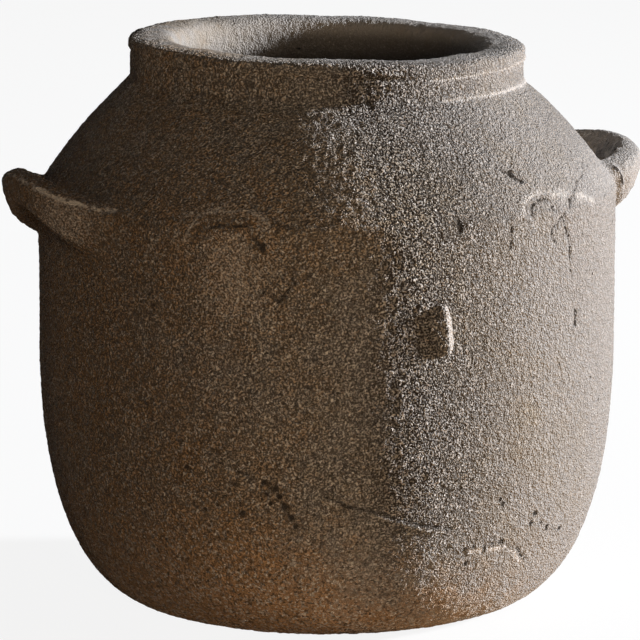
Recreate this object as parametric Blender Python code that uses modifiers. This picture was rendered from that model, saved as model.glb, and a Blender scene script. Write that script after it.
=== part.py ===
"""A two-eared clay jar, built from the pieces that a potter lutes together.

Metres, +Z up. The origin is the centre of the foot, and the two strap lugs point along -X and +X.
"""

import math

import bmesh
import bpy
from mathutils import Vector

MM = 0.001

# Outside of the body, as a radius and a height on its turned profile.
FOOT_RADIUS = 61.0 * MM
BELLY_RADIUS = 100.0 * MM
HEEL_TOP = 90.0 * MM
HEEL_FOOT_PULL = 8.3 * MM
HEEL_WALL_PULL = 83.0 * MM
SHOULDER_START = 139.0 * MM
SHOULDER_PULL = 9.0 * MM
COLLAR_RADIUS = 70.0 * MM
COLLAR_HEIGHT = 180.0 * MM
COLLAR_PULL = 26.5 * MM
COLLAR_SLOPE = math.radians(47.7)

# Collar and rim.
NECK_RADIUS = 67.9 * MM
NECK_FILLET = 2.6 * MM
RIM_RADIUS = 68.4 * MM
RIM_CROWN_RADIUS = 60.5 * MM
RIM_SIDE = 3.2 * MM
THROAT_RADIUS = 51.7 * MM
THROAT_PULL = 7.0 * MM
TOTAL_HEIGHT = 196.0 * MM

# Walls, and the heights where one piece stands on the next.
WALL = 9.0 * MM
FLOOR = 10.0 * MM
INNER_STEP = 3.0 * MM
HEEL_SEAM = 50.0 * MM
BREAK_HEIGHT = 146.0 * MM
RIM_SEAM = 188.5 * MM
SLIP = 0.3 * MM

# Strap lugs, upturned bridges. The path is seen from above on a lug that points along +X, and its
# roots lie lower than its middle.
LUG_REACH = 115.0 * MM
LUG_THICKNESS = 9.0 * MM
LUG_HEIGHT = 13.5 * MM
LUG_MIDDLE_HEIGHT = 149.6 * MM
LUG_LEAN = math.radians(20.0)
LUG_MIDDLE_PULL = 17.0 * MM
LUG_ROOT = (74.0 * MM, 34.0 * MM)
LUG_ROOT_PULL = (28.0 * MM, -4.0 * MM)
LEFT_ROOT_DROP = 13.0 * MM
LEFT_ROOT_SWELL = 1.65
RIGHT_ROOT_DROP = 8.0 * MM
RIGHT_ROOT_SWELL = 1.5

# Lump of clay on the front wall, facing -Y.
PELLET_HEIGHT = 110.5 * MM
PELLET_HALF_SIZE = (4.6 * MM, 3.4 * MM, 8.6 * MM)

# Fineness of the turned walls and of the lugs.
TURN_STEPS = 64
HEEL_POINTS = 11
SHOULDER_POINTS = 9
THROAT_POINTS = 4
RIM_POINTS = 5
LUG_PATH_STEPS = 9
LUG_SECTION_POINTS = 14
LUG_SECTION_POWER = 2.6
PELLET_SEGMENTS = 14
PELLET_RINGS = 8
WELD = 0.001 * MM

# Linear colours and roughness of the fired clay.
FOOT_CLAY = (0.150, 0.112, 0.078)
BELLY_CLAY = (0.168, 0.131, 0.096)
SHOULDER_CLAY = (0.182, 0.148, 0.112)
RIM_CLAY = (0.190, 0.157, 0.121)
LUG_CLAY = (0.172, 0.138, 0.102)
PELLET_CLAY = (0.205, 0.170, 0.132)
CLAY_ROUGHNESS = 0.92


def clear_scene():
    """Remove every object of the open scene."""
    for obj in list(bpy.data.objects):
        bpy.data.objects.remove(obj, do_unlink=True)


def new_collection(name):
    """Add a collection of this name to the scene."""
    collection = bpy.data.collections.new(name)
    bpy.context.scene.collection.children.link(collection)
    return collection


def clay(name, colour):
    """Matt unglazed clay of one linear colour."""
    material = bpy.data.materials.new(name)
    material.use_nodes = True
    shader = material.node_tree.nodes["Principled BSDF"]
    shader.inputs["Base Color"].default_value = (*colour, 1.0)
    shader.inputs["Roughness"].default_value = CLAY_ROUGHNESS
    shader.inputs["Metallic"].default_value = 0.0
    return material


def bezier(start, start_pull, end_pull, end, count):
    """Points of one cubic curve in the profile plane, both ends included."""
    points = []
    for index in range(count):
        t = index / (count - 1)
        s = 1.0 - t
        points.append(
            s**3 * Vector(start)
            + 3.0 * s * s * t * Vector(start_pull)
            + 3.0 * s * t * t * Vector(end_pull)
            + t**3 * Vector(end)
        )
    return points


def body_outline():
    """Outer profile of the body from the foot up to the collar. The belly is its one straight stretch."""
    heel = bezier(
        (FOOT_RADIUS, 0.0),
        (FOOT_RADIUS + HEEL_FOOT_PULL, 0.0),
        (BELLY_RADIUS, HEEL_TOP - HEEL_WALL_PULL),
        (BELLY_RADIUS, HEEL_TOP),
        HEEL_POINTS,
    )
    collar_pull = (
        COLLAR_RADIUS + COLLAR_PULL * math.sin(COLLAR_SLOPE),
        COLLAR_HEIGHT - COLLAR_PULL * math.cos(COLLAR_SLOPE),
    )
    shoulder = bezier(
        (BELLY_RADIUS, SHOULDER_START),
        (BELLY_RADIUS, SHOULDER_START + SHOULDER_PULL),
        collar_pull,
        (COLLAR_RADIUS, COLLAR_HEIGHT),
        SHOULDER_POINTS,
    )
    return heel + shoulder


def offset(outline, distance):
    """The same outline moved towards the outside, or towards the axis where distance is negative."""
    moved = []
    last = len(outline) - 1
    for index, point in enumerate(outline):
        along = outline[min(index + 1, last)] - outline[max(index - 1, 0)]
        outwards = Vector((along.y, -along.x)).normalized()
        moved.append(point + distance * outwards)
    return moved


def inner_outline(outline):
    """Inside of the wall from the floor up, ending in a roll that brings it upright in the throat."""
    wall = offset(outline, -WALL)
    leaning = (wall[-1] - wall[-2]).normalized()
    throat = Vector((THROAT_RADIUS, RIM_SEAM))
    roll = bezier(
        wall[-1],
        wall[-1] + THROAT_PULL * leaning,
        throat - Vector((0.0, THROAT_PULL)),
        throat,
        THROAT_POINTS,
    )
    return wall + roll[1:]


def radius_at(outline, height):
    """Radius of an upward-running outline at a height."""
    for low, high in zip(outline, outline[1:]):
        if low.y <= height <= high.y:
            share = (height - low.y) / (high.y - low.y)
            return low.x + share * (high.x - low.x)
    raise ValueError("the outline does not reach this height")


def stretch(outline, low, high):
    """The part of an upward-running outline between two heights, with its cut ends."""
    inside = [point for point in outline if low < point.y < high]
    first = Vector((radius_at(outline, low), low))
    final = Vector((radius_at(outline, high), high))
    return [first, *inside, final]


def turned(name, profile, collection, material=None, closed=True):
    """Turn a profile about Z. It runs down its outer side first, and a closed one returns inside."""
    edges = [(index, index + 1) for index in range(len(profile) - 1)]
    if closed:
        edges.append((len(profile) - 1, 0))
    mesh = bpy.data.meshes.new(name)
    mesh.from_pydata([(point[0], 0.0, point[1]) for point in profile], edges, [])
    obj = bpy.data.objects.new(name, mesh)
    collection.objects.link(obj)
    screw = obj.modifiers.new("turning", "SCREW")
    screw.axis = "Z"
    screw.angle = math.tau
    screw.steps = TURN_STEPS
    screw.render_steps = TURN_STEPS
    screw.use_merge_vertices = True
    screw.merge_threshold = WELD
    screw.use_smooth_shade = True
    if material:
        mesh.materials.append(material)
    return obj


def base_disc(outline, collection):
    """Solid slab with the lowest stretch of the heel as its edge."""
    top = FLOOR - SLIP / 2.0
    edge = stretch(outline, 0.0, top)
    profile = [Vector((0.0, top)), *reversed(edge), Vector((0.0, 0.0))]
    turned("base_disc", profile, collection, clay("base clay", FOOT_CLAY), closed=False)


def heel_wall(outline, inner, collection):
    """First coil of the wall, on the slab. Its inner foot is upright, so that it has no thin edge."""
    bottom = FLOOR + SLIP / 2.0
    top = HEEL_SEAM - SLIP / 2.0
    outside = stretch(outline, bottom, top)
    inside = stretch(inner, bottom + INNER_STEP, top)
    inner_foot = Vector((inside[0].x, bottom))
    profile = [*reversed(outside), inner_foot, *inside]
    turned("heel_wall", profile, collection, clay("heel clay", BELLY_CLAY))


def wall_ring(name, low_seam, high_seam, outline, inner, collection, colour):
    """Turned wall between two seams, a slip layer clear of the pieces below and above it."""
    bottom = low_seam + SLIP / 2.0
    top = high_seam - SLIP / 2.0
    profile = [*reversed(stretch(outline, bottom, top)), *stretch(inner, bottom, top)]
    turned(name, profile, collection, clay(name + " clay", colour))


def belly_wall(outline, inner, collection):
    """Upright wall from the first coil to the shoulder break."""
    wall_ring("belly_wall", HEEL_SEAM, BREAK_HEIGHT, outline, inner, collection, BELLY_CLAY)


def shoulder(outline, inner, collection):
    """Leaning wall from the break to the foot of the collar."""
    wall_ring("shoulder", BREAK_HEIGHT, COLLAR_HEIGHT, outline, inner, collection, SHOULDER_CLAY)


def neck_collar(inner, collection):
    """Short ring with a hollow fillet at its foot."""
    bottom = COLLAR_HEIGHT + SLIP / 2.0
    top = RIM_SEAM - SLIP / 2.0
    fillet_middle = NECK_FILLET * (1.0 - math.sqrt(0.5))
    outside = [
        Vector((NECK_RADIUS, top)),
        Vector((NECK_RADIUS, bottom + NECK_FILLET)),
        Vector((NECK_RADIUS + fillet_middle, bottom + fillet_middle)),
        Vector((COLLAR_RADIUS, bottom)),
    ]
    profile = [*outside, *stretch(inner, bottom, top)]
    turned("neck_collar", profile, collection, clay("collar clay", SHOULDER_CLAY))


def quarter_turn(crown, reach, rise):
    """Quarter of an ellipse from its crown down, towards the outside where reach is positive."""
    points = []
    for index in range(RIM_POINTS):
        angle = math.pi / 2.0 * index / (RIM_POINTS - 1)
        points.append(crown + Vector((reach * math.sin(angle), rise * (math.cos(angle) - 1.0))))
    return points


def rim_coil(collection):
    """Thick coil: an upright outer side, a low domed crown and a long easy roll into the throat."""
    bottom = RIM_SEAM + SLIP / 2.0
    crown = Vector((RIM_CROWN_RADIUS, TOTAL_HEIGHT))
    rise = TOTAL_HEIGHT - bottom
    outside = quarter_turn(crown, RIM_RADIUS - RIM_CROWN_RADIUS, rise - RIM_SIDE)
    inside = quarter_turn(crown, THROAT_RADIUS - RIM_CROWN_RADIUS, rise)
    profile = [*outside, Vector((RIM_RADIUS, bottom)), *reversed(inside[1:])]
    turned("rim_coil", profile, collection, clay("rim clay", RIM_CLAY))


def lug_section(cutters):
    """Rounded upright strap section, drawn as a flat closed curve."""
    curve = bpy.data.curves.new("lug_section", "CURVE")
    curve.dimensions = "2D"
    spline = curve.splines.new("POLY")
    spline.points.add(LUG_SECTION_POINTS - 1)
    spline.use_cyclic_u = True
    for index, point in enumerate(spline.points):
        angle = math.tau * (index + 0.5) / LUG_SECTION_POINTS
        across = math.copysign(abs(math.cos(angle)) ** (2.0 / LUG_SECTION_POWER), math.cos(angle))
        upright = math.copysign(abs(math.sin(angle)) ** (2.0 / LUG_SECTION_POWER), math.sin(angle))
        point.co = (across * LUG_THICKNESS / 2.0, upright * LUG_HEIGHT / 2.0, 0.0, 1.0)
    section = bpy.data.objects.new("lug_section", curve)
    cutters.objects.link(section)
    section.hide_render = True
    section.display_type = "WIRE"
    return section


def lug_path(name, root_drop, root_swell, section, collection):
    """Curve of one lug pointing along +X, from inside the wall, up and out round the bridge and back in."""
    middle = Vector((LUG_REACH - LUG_THICKNESS / 2.0, 0.0, 0.0))
    curve = bpy.data.curves.new(name, "CURVE")
    curve.dimensions = "3D"
    curve.twist_mode = "Z_UP"
    curve.resolution_u = LUG_PATH_STEPS
    curve.bevel_mode = "OBJECT"
    curve.bevel_object = section
    curve.use_fill_caps = True
    spline = curve.splines.new("BEZIER")
    spline.radius_interpolation = "EASE"
    spline.bezier_points.add(2)
    for point, side in zip(spline.bezier_points, (-1.0, 0.0, 1.0)):
        point.handle_left_type = "FREE"
        point.handle_right_type = "FREE"
        point.tilt = LUG_LEAN
        if side:
            root = Vector((LUG_ROOT[0], side * LUG_ROOT[1], -root_drop))
            pull = Vector((LUG_ROOT_PULL[0], side * LUG_ROOT_PULL[1], 0.0))
            point.co = root
            point.handle_left = root + side * pull
            point.handle_right = root - side * pull
            point.radius = root_swell
        else:
            point.co = middle
            point.handle_left = middle - Vector((0.0, LUG_MIDDLE_PULL, 0.0))
            point.handle_right = middle + Vector((0.0, LUG_MIDDLE_PULL, 0.0))
            point.radius = 1.0
    path = bpy.data.objects.new(name, curve)
    collection.objects.link(path)
    return path


def as_mesh(curve_object):
    """Replace a curve by its mesh, with the end caps welded on."""
    graph = bpy.context.evaluated_depsgraph_get()
    mesh = bpy.data.meshes.new_from_object(curve_object.evaluated_get(graph))
    shape = bmesh.new()
    shape.from_mesh(mesh)
    bmesh.ops.remove_doubles(shape, verts=shape.verts, dist=WELD)
    bmesh.ops.recalc_face_normals(shape, faces=shape.faces)
    shape.to_mesh(mesh)
    shape.free()
    name = curve_object.name
    collection = curve_object.users_collection[0]
    matrix = curve_object.matrix_world.copy()
    bpy.data.objects.remove(curve_object, do_unlink=True)
    obj = bpy.data.objects.new(name, mesh)
    obj.matrix_world = matrix
    collection.objects.link(obj)
    return obj


def cut_to_wall(obj, wall_cutter):
    """Take away all of a piece that lies within the body, so that its foot follows the wall."""
    cut = obj.modifiers.new("fit to wall", "BOOLEAN")
    cut.operation = "DIFFERENCE"
    cut.solver = "EXACT"
    cut.object = wall_cutter
    obj.data.shade_smooth()


def body_cutter(outline, cutters):
    """The whole body as one solid, one slip layer larger than the walls."""
    grown = offset(outline, SLIP)
    low = HEEL_TOP / 2.0
    high = COLLAR_HEIGHT - 2.0 * SLIP
    profile = [Vector((0.0, high)), *reversed(stretch(grown, low, high)), Vector((0.0, low))]
    cutter = turned("body_cutter", profile, cutters, closed=False)
    cutter.hide_render = True
    cutter.display_type = "WIRE"
    return cutter


def lug_handle(name, turn, root_drop, root_swell, section, wall_cutter, collection):
    """One strap lug, turned about Z to its side of the jar and cut to the wall."""
    path = lug_path(name, root_drop, root_swell, section, collection)
    path.location.z = LUG_MIDDLE_HEIGHT
    path.rotation_euler.z = turn
    bpy.context.view_layer.update()
    lug = as_mesh(path)
    lug.data.materials.append(clay(name + " clay", LUG_CLAY))
    cut_to_wall(lug, wall_cutter)


def clay_pellet(outline, wall_cutter, collection):
    """Flattened lump pressed on the front wall."""
    shape = bmesh.new()
    bmesh.ops.create_uvsphere(
        shape, u_segments=PELLET_SEGMENTS, v_segments=PELLET_RINGS, radius=1.0
    )
    bmesh.ops.scale(shape, vec=PELLET_HALF_SIZE, verts=shape.verts)
    mesh = bpy.data.meshes.new("clay_pellet")
    shape.to_mesh(mesh)
    shape.free()
    pellet = bpy.data.objects.new("clay_pellet", mesh)
    pellet.location = (0.0, -radius_at(outline, PELLET_HEIGHT), PELLET_HEIGHT)
    collection.objects.link(pellet)
    mesh.materials.append(clay("pellet clay", PELLET_CLAY))
    cut_to_wall(pellet, wall_cutter)


def main():
    """Build the jar piece by piece, from the foot up."""
    clear_scene()
    jar = new_collection("two_eared_jar")
    cutters = new_collection("jar_cutters")
    outline = body_outline()
    inner = inner_outline(outline)
    base_disc(outline, jar)
    heel_wall(outline, inner, jar)
    belly_wall(outline, inner, jar)
    shoulder(outline, inner, jar)
    neck_collar(inner, jar)
    rim_coil(jar)
    section = lug_section(cutters)
    wall_cutter = body_cutter(outline, cutters)
    left = ("left_lug_handle", math.pi, LEFT_ROOT_DROP, LEFT_ROOT_SWELL)
    right = ("right_lug_handle", 0.0, RIGHT_ROOT_DROP, RIGHT_ROOT_SWELL)
    for side in (left, right):
        lug_handle(*side, section, wall_cutter, jar)
    clay_pellet(outline, wall_cutter, jar)


main()
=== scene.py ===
"""Looks of a two-eared jar of coarse unglazed clay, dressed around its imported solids.

Metres, +Z up. The origin is the centre of the foot, and the two strap lugs point along -X and +X.
A place on the wall is given by its turn, an angle from -Y towards +X, and by its height.
"""

import logging
import math
from abc import ABC, abstractmethod
from dataclasses import dataclass
from enum import Enum
from typing import Any

import bmesh
import bpy
import numpy as np
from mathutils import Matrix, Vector, noise


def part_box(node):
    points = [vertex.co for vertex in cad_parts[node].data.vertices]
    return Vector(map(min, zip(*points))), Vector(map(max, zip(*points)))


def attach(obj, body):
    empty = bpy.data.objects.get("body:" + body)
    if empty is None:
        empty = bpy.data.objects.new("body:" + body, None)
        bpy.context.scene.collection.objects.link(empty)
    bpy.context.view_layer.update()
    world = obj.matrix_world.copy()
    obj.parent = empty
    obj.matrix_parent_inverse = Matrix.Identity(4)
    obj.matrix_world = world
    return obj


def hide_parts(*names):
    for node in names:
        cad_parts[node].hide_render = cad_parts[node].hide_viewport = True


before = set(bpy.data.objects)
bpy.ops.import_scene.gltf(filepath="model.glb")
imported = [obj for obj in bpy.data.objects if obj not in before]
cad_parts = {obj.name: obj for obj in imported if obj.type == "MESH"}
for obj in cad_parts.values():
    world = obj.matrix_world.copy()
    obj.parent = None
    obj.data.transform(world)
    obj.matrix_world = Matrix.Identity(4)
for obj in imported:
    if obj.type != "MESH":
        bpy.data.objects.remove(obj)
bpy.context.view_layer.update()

LOG = logging.getLogger("clay_jar")
BODY = "root"
MM = 0.001
WELD = 0.001 * MM
SHARP_ANGLE = math.radians(62.0)
# Mesh attribute with the stains of the marks, and painted light and shade on the lugs and the pellet.
WEAR_AND_PAINTED_LIGHT = "wear_and_painted_light"
ALONG = "along"
WHITE = (1.0, 1.0, 1.0)

Colour = tuple[float, float, float]
Place = tuple[float, float]


@dataclass(frozen=True)
class Fineness:
    """How finely the clay is meshed.

    Attributes:
        outer_row: distance between rows on the outside.
        inner_row: distance between rows on the inside.
        spin_steps: coarse steps of a full turn.
        spin_cuts: cuts that each coarse step then gets.
        lug_sides: points round a lug.
        lug_cuts: cuts along a lug.
        pellet_level: subdivisions of the pellet.
    """

    outer_row: float
    inner_row: float
    spin_steps: int
    spin_cuts: int
    lug_sides: int
    lug_cuts: int
    pellet_level: int


FINE = Fineness(
    outer_row=0.88 * MM,
    inner_row=4.0 * MM,
    spin_steps=90,
    spin_cuts=7,
    lug_sides=72,
    lug_cuts=170,
    pellet_level=6,
)


class Pattern(Enum):
    """Shifts of the noise, one for each kind of unevenness, so that no two look alike."""

    SWELL = 3.1
    PELLET = 5.0
    DENT = 7.7
    GRAIN = 11.3
    RIM = 19.0
    LUMPS = 23.0
    STRAY_ROUND = 31.0
    CREASE = 37.0
    WORN_AND_HIGHLIGHT = 41.0
    SPECKLE = 43.0
    STRAY_UP = 47.0


def smooth_step(low: float, high: float, value: np.ndarray) -> np.ndarray:
    """Ease from 0 to 1 as a value goes from low to high.

    Args:
        low: where the step starts.
        high: where it ends.
        value: the values to ease.

    Returns:
        One share for each value.
    """
    share = np.clip((value - low) / (high - low), 0.0, 1.0)
    return share * share * (3.0 - 2.0 * share)


def hill(middle: float, width: float, value: np.ndarray) -> np.ndarray:
    """A smooth hill of height 1 over a middle value, which falls away over a width."""
    return np.exp(-(((value - middle) / width) ** 2))


def cubic(corners: list[np.ndarray], share: np.ndarray) -> np.ndarray:
    """Follow a cubic curve.

    Args:
        corners: its start, the handles of its start and its end, and its end.
        share: how far along each place is, from 0 to 1, as a column.

    Returns:
        The places, one row each.
    """
    rest = 1.0 - share
    return (
        rest**3 * corners[0]
        + 3.0 * rest * rest * share * corners[1]
        + 3.0 * rest * share * share * corners[2]
        + share**3 * corners[3]
    )


def bezier(start: Place, start_pull: Place, end_pull: Place, end: Place, count: int = 200) -> np.ndarray:
    """Points of one cubic curve on the section.

    Args:
        start: first point, as a radius and a height.
        start_pull: handle of the first point.
        end_pull: handle of the last point.
        end: last point.
        count: number of points, both ends included.

    Returns:
        The points, one row each.
    """
    corners = [np.array(corner) for corner in (start, start_pull, end_pull, end)]
    return cubic(corners, np.linspace(0.0, 1.0, count)[:, None])


def clay_noise(points: np.ndarray, size: float, pattern: Pattern, octaves: int = 2) -> np.ndarray:
    """Smooth unevenness of one lump size, from about -1 to 1.

    Args:
        points: places in space, one row each.
        size: width of a lump.
        pattern: which pattern the lumps follow.
        octaves: layers, each of lumps half as wide as the last.

    Returns:
        One value for each place.
    """
    scaled = (points / size + pattern.value).tolist()
    return np.array([noise.fractal(place, 1.0, 2.0, octaves) for place in scaled])


@dataclass(frozen=True)
class Outline:
    """A line on the jar's turned section.

    Attributes:
        along: distance of each point from the start of the line.
        points: radius and height of each point.
        facing: unit direction out of the clay at each point, in the same plane.
    """

    along: np.ndarray
    points: np.ndarray
    facing: np.ndarray

    @classmethod
    def through(cls, corners: np.ndarray, spacing: float) -> "Outline":
        """Run an even line through close corners, with the clay on its left.

        Args:
            corners: radius and height of each corner.
            spacing: distance between the points of the line.

        Returns:
            The line.
        """
        steps = np.linalg.norm(np.diff(corners, axis=0), axis=1)
        corners = corners[np.concatenate(([True], steps > WELD))]
        steps = np.linalg.norm(np.diff(corners, axis=0), axis=1)
        reached = np.concatenate(([0.0], np.cumsum(steps)))
        along = np.linspace(0.0, reached[-1], round(reached[-1] / spacing) + 1)
        points = np.column_stack([np.interp(along, reached, corners[:, axis]) for axis in (0, 1)])
        run = np.gradient(points, along, axis=0)
        facing = np.column_stack((run[:, 1], -run[:, 0]))
        facing /= np.linalg.norm(facing, axis=1)[:, None]
        return cls(along, points, facing)

    def at(self, along: np.ndarray) -> tuple[np.ndarray, np.ndarray]:
        """Find points of the line, and the directions out of the clay there.

        Args:
            along: distances from the start of the line.

        Returns:
            Radius and height of each point, and its outward direction.
        """
        points = [np.interp(along, self.along, self.points[:, axis]) for axis in (0, 1)]
        facing = [np.interp(along, self.along, self.facing[:, axis]) for axis in (0, 1)]
        return np.column_stack(points), np.column_stack(facing)


def node_top(node: str) -> float:
    """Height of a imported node's top."""
    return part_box(node)[1].z


def node_radius(node: str) -> float:
    """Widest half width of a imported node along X."""
    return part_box(node)[1].x


def seam(lower: str, upper: str) -> float:
    """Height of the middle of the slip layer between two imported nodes."""
    return (node_top(lower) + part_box(upper)[0].z) / 2.0


@dataclass(frozen=True)
class JarProfile:
    """Sizes of the jar's turned section, each a radius, a height or a pull on a curve."""

    foot_radius: float = 61.0 * MM
    heel_foot_pull: float = 8.3 * MM
    heel_top: float = 90.0 * MM
    heel_wall_pull: float = 83.0 * MM
    shoulder_start: float = 143.0 * MM
    shoulder_edge: Place = (98.7 * MM, 147.0 * MM)
    shoulder_slope: float = math.radians(34.0)
    edge_pull: float = 1.2 * MM
    shoulder_pull: float = 14.0 * MM
    collar_pull: float = 16.0 * MM
    collar_slope: float = math.radians(47.7)
    neck_radius: float = 67.9 * MM
    neck_rise: float = 2.6 * MM
    groove_height: float = 190.3 * MM
    groove_depth: float = 0.5 * MM
    groove_reach: float = 1.0 * MM
    lip_edge: float = 193.4 * MM
    lip_corner: Place = (65.9 * MM, 195.6 * MM)
    crown_radius: float = 61.0 * MM
    top_pulls: Place = (2.0 * MM, 1.0 * MM)
    throat_edge: Place = (54.5 * MM, 196.0 * MM)
    throat_corner: Place = (51.7 * MM, 195.0 * MM)
    throat_radius: float = 51.7 * MM
    throat_pull: float = 7.0 * MM
    wall: float = 9.0 * MM
    floor_round: float = 5.0 * MM
    belly_radius: float = node_radius("belly_wall")
    lip_radius: float = node_radius("rim_coil")
    collar_radius: float = node_radius("neck_collar")
    floor: float = seam("base_disc", "heel_wall")
    heel_seam: float = seam("heel_wall", "belly_wall")
    break_height: float = seam("belly_wall", "shoulder")
    collar_height: float = seam("shoulder", "neck_collar")
    rim_seam: float = seam("neck_collar", "rim_coil")
    total_height: float = node_top("rim_coil")
    line_spacing: float = 0.1 * MM

    def body_side(self) -> np.ndarray:
        """Outside of the body from the edge of the foot to the collar."""
        heel = bezier(
            (self.foot_radius, 0.0),
            (self.foot_radius + self.heel_foot_pull, 0.0),
            (self.belly_radius, self.heel_top - self.heel_wall_pull),
            (self.belly_radius, self.heel_top),
        )
        edge = bezier(
            (self.belly_radius, self.shoulder_start),
            (self.belly_radius, self.shoulder_start + 2.0 * self.edge_pull),
            self.above_edge(-self.edge_pull),
            self.shoulder_edge,
        )
        shoulder = bezier(
            self.shoulder_edge,
            self.above_edge(self.shoulder_pull),
            self.below_collar(self.collar_pull),
            (self.collar_radius, self.collar_height),
        )
        return np.vstack((heel, edge, shoulder))

    def above_edge(self, distance: float) -> Place:
        """Point on the slope at the shoulder's edge, a distance up from it. Negative goes down."""
        radius, height = self.shoulder_edge
        inwards = distance * math.sin(self.shoulder_slope)
        return (radius - inwards, height + distance * math.cos(self.shoulder_slope))

    def below_collar(self, distance: float) -> Place:
        """Point on the shoulder's slope, a distance down from the collar. Negative goes up."""
        outwards = distance * math.sin(self.collar_slope)
        return (self.collar_radius + outwards, self.collar_height - distance * math.cos(self.collar_slope))

    def neck_and_lip(self) -> np.ndarray:
        """Short neck, the groove under the lip, the lip's upright side and its top up to the crown."""
        neck_top = self.collar_height + self.neck_rise
        neck = bezier(
            (self.collar_radius, self.collar_height),
            self.below_collar(-self.neck_rise / 2.0),
            (self.neck_radius, neck_top - self.neck_rise / 3.0),
            (self.neck_radius, neck_top),
        )
        groove_floor = self.neck_radius - self.groove_depth
        groove_foot = self.groove_height - self.groove_reach
        groove_top = self.groove_height + self.groove_reach
        groove = bezier(
            (self.neck_radius, groove_foot),
            (groove_floor, self.groove_height),
            (groove_floor, self.groove_height),
            (self.lip_radius, groove_top),
        )
        corner = bezier(
            (self.lip_radius, self.lip_edge),
            (self.lip_radius, self.lip_corner[1] - self.groove_depth),
            (self.lip_radius - self.groove_depth, self.lip_corner[1] - self.groove_depth / 2.0),
            self.lip_corner,
        )
        top = bezier(
            self.lip_corner,
            (self.lip_corner[0] - self.top_pulls[0], self.total_height),
            (self.crown_radius + self.top_pulls[1], self.total_height),
            (self.crown_radius, self.total_height),
        )
        return np.vstack((neck, groove, corner, top))

    def inner_side(self, body: np.ndarray) -> np.ndarray:
        """Inside from the crown down the throat and the wall to the floor.

        Args:
            body: the outside of the body, from the foot up.

        Returns:
            Points from the crown down to the edge of the floor.
        """
        roll = bezier(
            (self.crown_radius, self.total_height),
            self.throat_edge,
            self.throat_corner,
            (self.throat_radius, self.rim_seam),
        )
        line = Outline.through(body, self.line_spacing)
        inside = (line.points - self.wall * line.facing)[::-1]
        inside = inside[inside[:, 1] > self.floor + self.floor_round]
        lean = (inside[0] - inside[10]) / np.linalg.norm(inside[0] - inside[10])
        throat = bezier(
            tuple(roll[-1]),
            (self.throat_radius, self.rim_seam - self.throat_pull),
            tuple(inside[0] + self.throat_pull * lean),
            tuple(inside[0]),
        )
        corner = bezier(
            tuple(inside[-1]),
            (inside[-1][0] - self.floor_round / 2.0, self.floor + self.floor_round / 3.0),
            (inside[-1][0] - self.floor_round, self.floor),
            (inside[-1][0] - 2.0 * self.floor_round, self.floor),
        )
        return np.vstack((roll, throat, inside, corner))

    def whole(self) -> Outline:
        """The closed section: underside, outside, crown, inside and floor, back to the axis."""
        body = self.body_side()
        centre = np.array([[0.0, 0.0]])
        floor_centre = np.array([[0.0, self.floor]])
        corners = np.vstack((centre, body, self.neck_and_lip(), self.inner_side(body), floor_centre))
        return Outline.through(corners, self.line_spacing)


@dataclass(frozen=True)
class Section:
    """The jar's whole section, with the distances along it where its pieces meet."""

    profile: JarProfile
    line: Outline

    @property
    def crown(self) -> float:
        """Distance along the line to the top of the rim."""
        return float(self.line.along[np.argmax(self.line.points[:, 1])])

    def outside(self, height: float) -> float:
        """Distance along the line to a height on the outside."""
        rising = self.line.along <= self.crown
        return float(np.interp(height, self.line.points[rising, 1], self.line.along[rising]))

    def inside(self, height: float) -> float:
        """Distance along the line to a height on the inside."""
        falling = self.line.along >= self.crown
        return float(np.interp(-height, -self.line.points[falling, 1], self.line.along[falling]))

    def wall_gap(self, points: np.ndarray) -> tuple[np.ndarray, np.ndarray]:
        """Measure how far places lie outside the body's wall.

        Args:
            points: places in space.

        Returns:
            The distance of each place, negative within the wall, and the wall's outward direction there.
        """
        radius = np.hypot(points[:, 0], points[:, 1])
        rising = self.line.along <= self.crown
        along = np.interp(points[:, 2], self.line.points[rising, 1], self.line.along[rising])
        for _ in range(4):
            near, facing = self.line.at(along)
            run = np.column_stack((-facing[:, 1], facing[:, 0]))
            offset = np.column_stack((radius, points[:, 2])) - near
            along = along + np.sum(offset * run, axis=1)
        near, facing = self.line.at(along)
        gap = np.sum((np.column_stack((radius, points[:, 2])) - near) * facing, axis=1)
        out = points[:, :2] / np.maximum(radius, WELD)[:, None]
        return gap, np.column_stack((out * facing[:, :1], facing[:, 1]))


class MarkShape(Enum):
    """How a mark falls away from its line."""

    ROUND = "round"
    SHARP = "sharp"


@dataclass(frozen=True)
class Mark:
    """A crack, pit, ridge or smear on the wall, along a line of places.

    Attributes:
        line: the places, each a turn in degrees and a height in millimetres.
        width: reach of the mark to each side, in millimetres.
        lift: how far it stands out, in millimetres. A negative one is sunk.
        stain_and_painted_light: how much darker the clay is in it, where about 1 is nearly black. A negative
            one is paler.
        shape: how it falls away.
        wander: how far its line strays, in millimetres.
    """

    line: tuple[Place, ...]
    width: float
    lift: float
    stain_and_painted_light: float
    shape: MarkShape
    wander: float

    def distance(self, wall: "WallPlaces") -> np.ndarray:
        """Distance of each wall place from the mark's line, in metres."""
        first = self.line[0][0]
        here = wall.flat(first) + self.wander * MM * wall.stray
        corners = [wall.section_place(turn - first, height) for turn, height in self.line]
        if len(corners) == 1:
            corners = corners * 2
        nearest = np.full(len(here), np.inf)
        for start, end in zip(corners, corners[1:]):
            run = end - start
            reach = max(float(run @ run), WELD**2)
            share = np.clip((here - start) @ run / reach, 0.0, 1.0)
            gap = np.linalg.norm(here - start - share[:, None] * run, axis=1)
            nearest = np.minimum(nearest, gap)
        return nearest

    def press(self, wall: "WallPlaces") -> tuple[np.ndarray, np.ndarray]:
        """Shape the wall at this mark.

        Args:
            wall: the places of the wall.

        Returns:
            How far each place moves out, in metres, and how much darker it gets.
        """
        gap = self.distance(wall) / (self.width * MM)
        # A sharp mark is narrow where it is deep, and stains the clay on both sides of it.
        if self.shape is MarkShape.SHARP:
            stained = np.clip(1.0 - gap, 0.0, 1.0)
            lifted = stained**4
        else:
            stained = lifted = hill(0.0, 1.0, gap)
        return self.lift * MM * lifted, self.stain_and_painted_light * stained


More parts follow.
